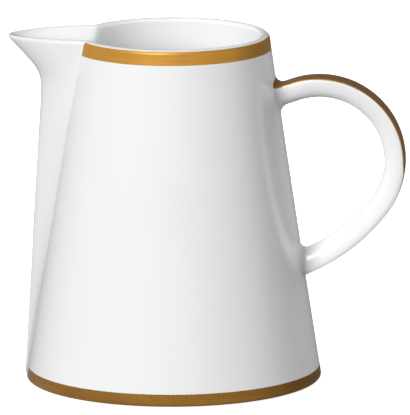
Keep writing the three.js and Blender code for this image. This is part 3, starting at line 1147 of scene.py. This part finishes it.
@dataclass
class EarHandle:
    """The ear-shaped handle: flat and crowned outside, round inside, with filleted roots.

    Its outer face follows a line of a straight lead, two arcs and a straight tail, and the
    section hangs inwards from that line.
    """

    shape: JugShape
    width: float = 7.9 * MM
    depth_least: float = 5.6 * MM        # at the middle of the line
    depth_top: float = 5.7 * MM          # at the upper root, and at the lower one
    depth_end: float = 6.4 * MM
    depth_growth: float = 1.4            # how fast the depth grows from the middle
    start_x: float = 27.0 * MM           # where the line leaves the wall, from the jug's axis
    start_z: float = 80.55 * MM
    start_rise: float = 18.7             # its rise there, in degrees
    lead: float = 5.9 * MM               # straight length at the upper root
    bends: tuple[tuple[float, float], ...] = ((23.1 * MM, 146.0), (54.0 * MM, 27.0))
    tail: float = 10.0 * MM              # straight length at the lower root
    bury: float = 6.0 * MM               # how far inside the wall the line begins
    line_step: float = 0.25 * MM         # length between two points of the line
    least_steps: int = 8                 # fewest points in any stretch of it
    crown: float = 0.16 * MM             # height of the outer face's parabola
    face_bunching: float = 0.9           # power that bunches its points towards its edges
    edge_round: float = 0.45 * MM        # how far its edges fall away
    edge_inset: float = 0.35             # share of that by which the face is narrower
    edge_start: float = 0.93             # share of the half width at which they begin to fall
    edge_fall: float = 2.2               # power by which they fall
    shoulder: float = 0.6 * MM           # depth at which the bow begins
    bow_across: float = 0.97             # powers of the bow's cosine and sine
    bow_inwards: float = 0.98
    fillet: float = 2.4 * MM             # radius of the slip fillets
    corner_fillet: float = 0.7 * MM      # radius under the lower root
    corner_share: float = 0.9            # share of the bow's depth at which it is full again
    fillet_bunching: float = 0.85        # power that bunches the fillet's rings to the wall
    probe: float = 0.5 * MM              # length over which the way out of the wall is read
    tuck_along: float = 0.25 * MM        # the fillet's edge goes on along the wall by this much
    tuck_under: float = 0.04 * MM        # and under the glaze by this much
    anchor_depth: float = 0.9 * MM       # depth inside the wall at which the fillet ends
    hollow_shade_reach: float = 0.9 * MM         # how far off the wall the painted shade reaches
    rings: int = 150
    fillet_rings: int = 16
    face_points: int = 16
    bow_points: int = 44
    gilding_half_low: float = 3.45 * MM  # half the gold's width below the outermost point
    gilding_fade: float = 7.0 * MM       # height over which it narrows to that
    gilding_start: int = 4               # rings left bare at each end
    line: dict[str, np.ndarray] = field(init=False)
    grid: np.ndarray = field(init=False)
    normals: np.ndarray = field(init=False)
    pool: np.ndarray = field(init=False)

    def __post_init__(self) -> None:
        """Works out the whole handle once, as one grid that its three pieces share."""
        self.line = self._line()
        self.grid, self.pool = self._grid()
        self.normals = sheet_normals(self.grid, (False, True))

    @property
    def loop_points(self) -> int:
        """Points round the section."""
        return 2 * self.face_points + self.bow_points

    @property
    def fillet_end(self) -> int:
        """Ring at which the upper fillet ends and the bare handle begins."""
        return self.fillet_rings + 1

    def _line(self) -> dict[str, np.ndarray]:
        """The outer face's middle line, by length: heading less the turn so far, and its sums.

        Returns:
            Arrays "length", "x", "z" and "angle".
        """
        arcs = [(self.bury + self.lead, 0.0)]
        arcs += [(radius * math.radians(turn), math.radians(turn)) for radius, turn in self.bends]
        arcs.append((self.tail, 0.0))
        steps, turns = [], []
        for length, turn in arcs:
            count = max(int(length / self.line_step), self.least_steps)
            steps.append(np.full(count, length / count))
            turns.append(np.full(count, turn / count))
        step, bend = np.concatenate(steps), np.concatenate(turns)
        turned = np.concatenate([[0.0], np.cumsum(bend)])
        angle = math.radians(self.start_rise) - turned
        middle = angle[:-1] - bend / 2.0
        x = np.concatenate([[0.0], np.cumsum(step * np.cos(middle))])
        z = np.concatenate([[0.0], np.cumsum(step * np.sin(middle))])
        back = self.bury * np.array([math.cos(angle[0]), math.sin(angle[0])])
        return {
            "length": np.concatenate([[0.0], np.cumsum(step)]),
            "x": self.shape.axis_x + self.start_x - back[0] + x,
            "z": self.start_z - back[1] + z,
            "angle": angle,
        }

    def _section(self, depth: np.ndarray) -> tuple[np.ndarray, np.ndarray, np.ndarray]:
        """The section, from the middle of the outer face round by +Y and back.

        The outer face is a shallow parabola between small round edges; the rest is a bow
        whose half width goes as a power of the cosine and whose depth as one of the sine.

        Args:
            depth: Depth of the section, (rings, 1).

        Returns:
            How far across, how far inwards, and the share of the bow, each (rings, loop).
        """
        half = self.width / 2.0
        face = (np.arange(self.face_points) + 0.5) / self.face_points
        reach = half - self.edge_inset * self.edge_round
        across_face = reach * np.sin(face * math.pi / 2.0) ** self.face_bunching
        past = np.clip((across_face / reach - self.edge_start) / (1.0 - self.edge_start), 0.0, 1.0)
        lowered = self.edge_round * past**self.edge_fall
        inwards_face = -self.crown * (1.0 - (across_face / half) ** 2) + lowered
        angle = (np.arange(self.bow_points) + 0.5) / self.bow_points * math.pi
        cosine = np.cos(angle)
        across_bow = half * np.sign(cosine) * np.abs(cosine) ** self.bow_across
        bow = np.sin(angle) ** self.bow_inwards
        across = np.concatenate([across_face, across_bow, -across_face[::-1]])
        flat = np.zeros(self.face_points)
        bow_share = np.concatenate([flat, bow, flat])
        shoulder = np.full(self.bow_points, self.shoulder)
        start = np.concatenate([inwards_face, shoulder, inwards_face[::-1]])
        inwards = start[None] + (depth - self.shoulder) * bow_share[None]
        return np.broadcast_to(across[None], inwards.shape), inwards, bow_share

    def _depth(self, length: np.ndarray) -> np.ndarray:
        """Depth of the section: least at the middle of the line, growing with the square."""
        t = length / self.line["length"][-1] * 2.0 - 1.0
        end = np.where(t < 0.0, self.depth_top, self.depth_end)
        return blend(self.depth_least, end, np.minimum(self.depth_growth * t * t, 1.0))

    def _points(self, length: np.ndarray) -> np.ndarray:
        """Points of the bare handle.

        Args:
            length: Length along the line of each point, (rings, loop).

        Returns:
            Grid (rings, loop, 3).
        """
        known = self.line["length"]
        x, z, angle = (np.interp(length, known, self.line[key]) for key in ("x", "z", "angle"))
        across, inwards, _ = self._section(self._depth(length))
        return np.stack([x + inwards * np.sin(angle), across, z - inwards * np.cos(angle)], -1)

    def _stand_off(self, points: np.ndarray) -> np.ndarray:
        """Level distance of points outside the cone."""
        radius = np.hypot(points[..., 0] - self.shape.axis_x, points[..., 1])
        return radius - self.shape.cone_radius(points[..., 2])

    def _wall_lengths(self) -> tuple[np.ndarray, np.ndarray]:
        """Where each line of the handle leaves the wall and comes back to it."""
        known = self.line["length"]
        length = np.broadcast_to(known[:, None], (len(known), self.loop_points))
        off = self._stand_off(self._points(length))
        outside = off > 0.0
        first = outside.argmax(0)
        last = len(off) - 1 - outside[::-1].argmax(0)
        column = np.arange(off.shape[1])
        ends = []
        for inner, outer in ((first - 1, first), (last + 1, last)):
            a, b = off[inner, column], off[outer, column]
            ends.append(blend(known[inner], known[outer], -a / (b - a)))
        return ends[0], ends[1]

    def _fillet_size(self, root: Root) -> np.ndarray:
        """Fillet radius of each line: even at the upper root, tight under the lower one."""
        _, _, bow = self._section(np.array([[self.depth_end]]))
        if root is Root.UPPER:
            return np.full(self.loop_points, self.fillet)
        return blend(self.corner_fillet, self.fillet, smooth(bow / self.corner_share))

    def _fillet(self, root: Root, wall_length: np.ndarray, size: np.ndarray) -> np.ndarray:
        """The fillet of one root, from the handle out along the wall and then into it.

        With e the way out of the wall along the handle and w the way along the wall, a point
        at angle t is the root plus e (1 - sin t) size plus w (1 - cos t) size; it is then
        moved level until it stands off the wall by its share of e.

        Args:
            root: Which root.
            wall_length: Length at which each line meets the wall.
            size: Fillet radius of each line.

        Returns:
            Grid (fillet rings, loop, 3), starting on the handle.
        """
        way = float(root.value)
        base = self._points(wall_length[None])[0]
        ahead = self._points((wall_length + way * self.probe)[None])[0]
        e = unit(ahead - base)
        radial = base - np.array([self.shape.axis_x, 0.0, 0.0])
        radial[:, 2] = 0.0
        slope = (self.shape.foot_radius - self.shape.rim_radius) / self.shape.height
        n = unit(unit(radial) + np.array([0.0, 0.0, slope]))
        around = np.roll(base, -1, 0) - np.roll(base, 1, 0)
        aside = unit(np.cross(around, e))
        centre = base.mean(0)
        aside *= np.sign(np.einsum("ij,ij->i", aside, base - centre))[:, None]
        w = unit(aside - np.einsum("ij,ij->i", aside, n)[:, None] * n)
        even = np.linspace(0.0, 1.0, self.fillet_rings)
        t = (even**self.fillet_bunching * math.pi / 2.0)[:, None, None]
        radius = size[None, :, None]
        points = base + e * radius * (1.0 - np.sin(t)) + w * radius * (1.0 - np.cos(t))
        climb = np.einsum("ij,ij->i", e, n)[None]
        wanted = radius[..., 0] * (1.0 - np.sin(t[..., 0])) * climb
        short = wanted - self._stand_off(points)
        level = points - np.array([self.shape.axis_x, 0.0, 0.0])
        level[..., 2] = 0.0
        points = points + unit(level) * (short * np.sin(t[..., 0]) ** 2)[..., None]
        tuck = points[-1] + w * self.tuck_along - n * self.tuck_under
        anchor = points[-1] - n * self.anchor_depth
        return np.concatenate([points, tuck[None], anchor[None]])

    def _grid(self) -> tuple[np.ndarray, np.ndarray]:
        """The whole handle: upper fillet, bare handle, lower fillet.

        Returns:
            Grid of points and the painted shade on it.
        """
        leave, come = self._wall_lengths()
        upper, lower = self._fillet_size(Root.UPPER), self._fillet_size(Root.LOWER)
        share = np.linspace(0.0, 1.0, self.rings)[:, None]
        bare = self._points(blend((leave + upper)[None], (come - lower)[None], share))
        top = self._fillet(Root.UPPER, leave, upper)[::-1]
        bottom = self._fillet(Root.LOWER, come, lower)
        grid = np.concatenate([top[:-1], bare, bottom[1:]])
        off = np.maximum(self._stand_off(grid), 0.0)
        # painted shade near the wall at the handle's roots, fading with the distance off it
        return grid, np.exp(-((off / self.hollow_shade_reach) ** 2))

    def _cut(self, first: int, last: int) -> Skin:
        """A stretch of the handle between two rings, closed at both."""
        rows = slice(first, last + 1)
        return tube_skin(self.grid[rows], self.normals[rows], self.pool[rows])

    def bare(self) -> Skin:
        """The handle between its two fillets."""
        return self._cut(self.fillet_end, self.fillet_end + self.rings - 1)

    def joint(self, root: Root) -> Skin:
        """The slip joint at one root, from the handle to inside the wall.

        Args:
            root: Which root.

        Returns:
            The closed skin.
        """
        if root is Root.UPPER:
            return self._cut(0, self.fillet_end)
        return self._cut(self.fillet_end + self.rings - 1, len(self.grid) - 1)

    def gilding(self, proud: float, sunk: float) -> Skin:
        """The gilded line on the outer face, from the upper root to the lower one.

        It reaches to the edges of the face above the handle's outermost point and narrows
        below it.

        Args:
            proud: Its height above the glaze.
            sunk: The depth of its underside.

        Returns:
            The closed skin.
        """
        across, _, bow = self._section(np.array([[self.depth_end]]))
        face = np.arange(bow.shape[-1])[bow == 0.0]
        order = face[np.argsort(across[0][face])]
        places = across[0][order]
        rows = slice(self.gilding_start, self.fillet_end + self.rings - self.gilding_start)
        sheet, normals = self.grid[rows][:, order], self.normals[rows][:, order]
        middle = sheet[:, len(order) // 2]
        outermost = middle[middle[:, 0].argmax(), 2]
        rise = (middle[:, 2] - outermost + self.gilding_fade) / self.gilding_fade
        half = blend(self.gilding_half_low, places[-1], smooth(rise))
        wanted = half[:, None] * (places / places[-1])
        trimmed, shading = (across_rows(grid, places, wanted) for grid in (sheet, normals))
        outward = np.sign(normals[len(sheet) // 2, :, 0].mean())
        return ribbon_skin(trimmed, unit(shading) * outward, proud, sunk)


# ------------------------------------------------------------------ the assembled jug


@dataclass(frozen=True)
class GildedLines:
    """Sizes of the gilded lines.

    Attributes:
        proud: Height above the glaze.
        sunk: Depth of the hidden underside.
        rim_low: Lower edge of the rim line.
        rim_over: How far the rim line goes over the lip, in degrees of its round.
        foot_high: Upper edge of the foot line.
        foot_under: How far the foot line goes round the foot's edge, in degrees.
        face_points: Points of each line on the straight of the wall.
        round_points: Points of each line on the round beside it.
    """

    proud: float = 0.03 * MM
    sunk: float = 0.06 * MM
    rim_low: float = 90.9 * MM
    rim_over: float = 42.0
    foot_high: float = 3.75 * MM
    foot_under: float = 78.0
    face_points: int = 13
    round_points: int = 12

    def rim_path(self, shape: JugShape) -> WallPath:
        """Up the outer face and over the outer side of the lip.

        Args:
            shape: The jug's surfaces.

        Returns:
            The path, lower edge first.
        """
        up = np.linspace(shape.share_at(self.rim_low), 1.0, self.face_points)
        over = np.radians(np.linspace(0.0, self.rim_over, self.round_points))[1:]
        return WallPath.up_the_face(up).then(shape.lip_path(over))

    def foot_path(self, shape: JugShape) -> WallPath:
        """Round the foot's outer edge and up the outer face.

        Args:
            shape: The jug's surfaces.

        Returns:
            The path, lower edge first.
        """
        under = np.radians(np.linspace(self.foot_under, 0.0, self.round_points))[:-1]
        sides = (1.0 - np.cos(under)) * shape.foot_edge / shape.wall_foot
        edge = WallPath(under * 0.0, sides, -shape.foot_edge * np.sin(under))
        up = np.linspace(0.0, shape.share_at(self.foot_high), self.face_points)
        return edge.then(WallPath.up_the_face(up))


def jug_axis() -> tuple[float, float]:
    """Where the jug's axis stands along X, in the middle of its foot ring, and its height."""
    ring_low, ring_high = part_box("foot_ring")
    return (ring_low.x + ring_high.x) / 2.0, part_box("body_wall")[1].z


@dataclass
class CreamJug:
    """The whole jug: it builds each sub-assembly and dresses its pieces.

    Attributes:
        lines: Sizes of the gilded lines.
        glaze: Finish of the porcelain.
        gold: Finish of the rim line.
        shaded_gold: Finish of the foot line and the handle's line, a darker gold that is partly painted
            shade.
        biscuit: Finish of the foot ring.
        ring_width: Width of the foot ring.
    """

    lines: GildedLines = GildedLines()
    glaze: Glaze = Glaze()
    gold: GoldLustre = GoldLustre()
    # painted shade: the foot and handle lines get the rim's gold at about half its brightness, for the
    # dimmer light they catch
    shaded_gold: GoldLustre = GoldLustre(bright=(0.32, 0.155, 0.026), deep=(0.26, 0.122, 0.02))
    biscuit: Biscuit = Biscuit()
    ring_width: float = 2.8 * MM

    def build(self) -> list[bpy.types.Object]:
        """Makes every piece, places it by the frame and reports it.

        Returns:
            The pieces.
        """
        ring_low, ring_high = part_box("foot_ring")
        floor_low, floor_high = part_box("floor_disc")
        shape = JugShape(*jug_axis())
        body = JugBody(shape)
        handle = EarHandle(shape)
        porcelain = self.glaze.material("porcelain")
        gold = self.gold.material("gilding")
        # painted shade: a darker gold for the foot line and the handle's line
        shaded_gold = self.shaded_gold.material("shaded_gilding")
        ground = self.biscuit.material("biscuit")
        outer = (ring_high.x - ring_low.x) / 2.0
        thin = (self.lines.proud, self.lines.sunk)
        rim = body.gilded_line(self.lines.rim_path(shape), *thin)
        foot = body.gilded_line(self.lines.foot_path(shape), *thin)
        ring = body.foot_ring(ring_low.z, ring_high.z, outer, self.ring_width)
        floor = body.floor(floor_low.z, floor_high.z)
        glazed, shaded_gilt = (porcelain, Slot.PORCELAIN), (shaded_gold, Slot.GILDING)
        plan = [
            ("jug_wall", body.wall(spout=False), *glazed, "body_wall"),
            ("jug_spout", body.wall(spout=True), *glazed, "spout_gusset"),
            ("jug_floor", floor, *glazed, "floor_disc"),
            ("jug_foot_ring", ring, ground, Slot.BISCUIT, "foot_ring"),
            ("ear_handle", handle.bare(), *glazed, "handle"),
            ("upper_slip_joint", handle.joint(Root.UPPER), *glazed, "handle_upper_joint"),
            ("lower_slip_joint", handle.joint(Root.LOWER), *glazed, "handle_lower_joint"),
            ("rim_gold_line", rim, gold, Slot.GILDING, "rim_gilding"),
            ("foot_gold_line", foot, *shaded_gilt, "foot_gilding"),
            ("handle_gold_line", handle.gilding(*thin), *shaded_gilt, "handle_gilding"),
        ]
        pieces = []
        for name, skin, material, slot, node in plan:
            pieces.append(finish_piece(skin.to_object(name), material, [node]))
        return pieces


# ------------------------------------------------------------------ studio


@dataclass(frozen=True)
class Softbox:
    """A square area light aimed at the jug.

    Attributes:
        name: Its name.
        azimuth: Where it stands round the jug, in degrees from -Y towards +X.
        elevation: Its height above the table, in degrees.
        distance: Its distance from the jug.
        size: Its side.
        power: Its power in watts.
        mirrored: Whether gloss shows it.
        scattered: Whether it lights the jug itself.
    """

    name: str
    azimuth: float
    elevation: float
    distance: float
    size: float
    power: float
    mirrored: bool = False
    scattered: bool = True

    def place(self, target: Vector) -> bpy.types.Object:
        """Makes the light.

        Args:
            target: The point that it faces.

        Returns:
            The light object.
        """
        data = bpy.data.lights.new(self.name, "AREA")
        data.shape = "SQUARE"
        data.size = self.size
        data.energy = self.power
        lamp = bpy.data.objects.new(self.name, data)
        back = direction(self.azimuth, self.elevation)
        lamp.location = target + back * self.distance
        lamp.rotation_mode = "QUATERNION"
        lamp.rotation_quaternion = (-back).to_track_quat("-Z", "Y")
        lamp.visible_glossy = self.mirrored
        lamp.visible_diffuse = self.scattered
        bpy.context.scene.collection.objects.link(lamp)
        return lamp


def direction(azimuth: float, elevation: float) -> Vector:
    """The way from the jug to a point at these angles.

    Args:
        azimuth: Degrees from -Y towards +X.
        elevation: Degrees above the table.

    Returns:
        A vector of length one.
    """
    a, e = math.radians(azimuth), math.radians(elevation)
    return Vector((math.sin(a) * math.cos(e), -math.cos(a) * math.cos(e), math.sin(e)))


@dataclass(frozen=True)
class Viewpoint:
    """A long lens that looks at the jug's side from a little above.

    Attributes:
        azimuth: Where it stands round the jug, in degrees from -Y towards +X.
        elevation: Its height above the table, in degrees.
        roll: How far it is rolled, in degrees.
        distance: Its distance from the jug.
        lens: Its focal length in millimetres.
        clip: How far it sees.
        right: How far to the right of the jug's axis the view is centred.
        above: How far above the middle of its height.
    """

    azimuth: float = 4.5
    elevation: float = 11.38
    roll: float = -0.228
    distance: float = 2.4
    lens: float = 766.3
    clip: float = 50.0
    right: float = 8.669 * MM
    above: float = -0.546 * MM

    def place(self, middle: Vector) -> bpy.types.Object:
        """Makes the camera and hands it to the scene.

        Args:
            middle: The point on the jug's axis at half its height.

        Returns:
            The camera object.
        """
        back = direction(self.azimuth, self.elevation)
        a = math.radians(self.azimuth)
        level = Vector((math.cos(a), math.sin(a), 0.0))
        upright = back.cross(level)
        c, s = math.cos(math.radians(self.roll)), math.sin(math.radians(self.roll))
        right, up = level * c + upright * s, upright * c - level * s
        data = bpy.data.cameras.new("camera")
        data.lens = self.lens
        data.clip_end = self.clip
        camera = bpy.data.objects.new("camera", data)
        turn = Matrix((right, up, back)).transposed()
        spot = middle + back * self.distance + right * self.right + up * self.above
        camera.matrix_world = Matrix.Translation(spot) @ turn.to_4x4()
        bpy.context.scene.collection.objects.link(camera)
        bpy.context.scene.camera = camera
        return camera


@dataclass(frozen=True)
class Studio:
    """A white table and soft light, brightest from the front left.

    Attributes:
        table_side: Side of the table.
        table_white: How light it is.
        table_matt: Its roughness.
        table_glow: How much light of its own it gives to the view.
        bright_azimuth: Where the bright wall stands, in degrees from -Y towards +X.
        bright_wall: How bright it is.
        dark_wall: How bright the wall behind is.
        wall_range: Cosine from the bright wall at which it is dark and at which it is bright.
        boxes: The lights.
    """

    table_side: float = 12.0
    table_white: float = 0.9
    table_matt: float = 0.9
    table_glow: float = 0.8
    bright_azimuth: float = -30.0
    bright_wall: float = 0.85
    dark_wall: float = 0.2
    wall_range: tuple[float, float] = (-1.0, 0.3)
    boxes: tuple[Softbox, ...] = (
        Softbox("key_softbox", -29.0, 19.0, 2.5, 0.9, 66.0),
        Softbox("side_softbox", 129.5, 16.0, 2.5, 2.4, 36.0),
        Softbox("back_softbox", 194.5, 30.0, 2.5, 0.9, 28.0),
        Softbox("front_softbox", 72.0, 10.0, 2.5, 1.6, 21.0),
        Softbox("top_softbox", 0.0, 86.0, 2.5, 1.8, 6.0),
        Softbox("glint_softbox", -18.0, 36.0, 2.5, 0.9, 22.0, mirrored=True, scattered=False),
    )

    def _surroundings(self) -> None:
        """The walls that the gloss mirrors, bright in front and dim behind."""
        world = bpy.data.worlds.new("studio")
        bench = NodeBench(world)
        way = bench.add("ShaderNodeTexCoord", output="Generated")
        front = direction(self.bright_azimuth, 0.0)
        dot = {"operation": "DOT_PRODUCT"}
        facing = bench.add("ShaderNodeVectorMath", dot, {0: way, 1: front}, output="Value")
        extra = self.bright_wall - self.dark_wall
        lit = self.dark_wall + extra * bench.step(facing, *self.wall_range)
        glow = {"Color": (1.0, 1.0, 1.0, 1.0), "Strength": lit}
        shader = bench.add("ShaderNodeBackground", None, glow)
        bench.add("ShaderNodeOutputWorld", None, {"Surface": shader})
        bpy.context.scene.world = world
        world.cycles_visibility.diffuse = False

    def build(self, middle: Vector) -> None:
        """Makes the table, the surroundings and the lights.

        Args:
            middle: The point that the lights face.
        """
        half = self.table_side / 2.0
        mesh = bpy.data.meshes.new("table")
        corners = [(-half, -half, 0.0), (half, -half, 0.0), (half, half, 0.0), (-half, half, 0.0)]
        mesh.from_pydata(corners, [], [(0, 1, 2, 3)])
        table = bpy.data.objects.new("table", mesh)
        bench = NodeBench(bpy.data.materials.new("table_white"))
        colour = (self.table_white, self.table_white, self.table_white, 1.0)
        white = {"Base Color": colour, "Roughness": self.table_matt}
        glow = {"Emission Color": (1.0, 1.0, 1.0, 1.0), "Emission Strength": self.table_glow}
        mesh.materials.append(bench.surface({**white, **glow}))
        bpy.context.scene.collection.objects.link(table)
        table.visible_diffuse = False
        table.visible_glossy = False
        self._surroundings()
        for box in self.boxes:
            box.place(middle)
        bpy.context.scene.view_settings.view_transform = "Standard"


def main() -> None:
    """Builds the jug and the studio, and notes how many pieces there are."""
    logging.basicConfig(level=logging.INFO, format="%(name)s: %(message)s")
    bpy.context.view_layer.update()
    pieces = CreamJug().build()
    axis_x, height = jug_axis()
    middle = Vector((axis_x, 0.0, height / 2.0))
    Viewpoint().place(middle)
    Studio().build(middle)
    bpy.context.view_layer.update()
    LOG.info("%d pieces", len(pieces))


if __name__ == "__main__":
    main()
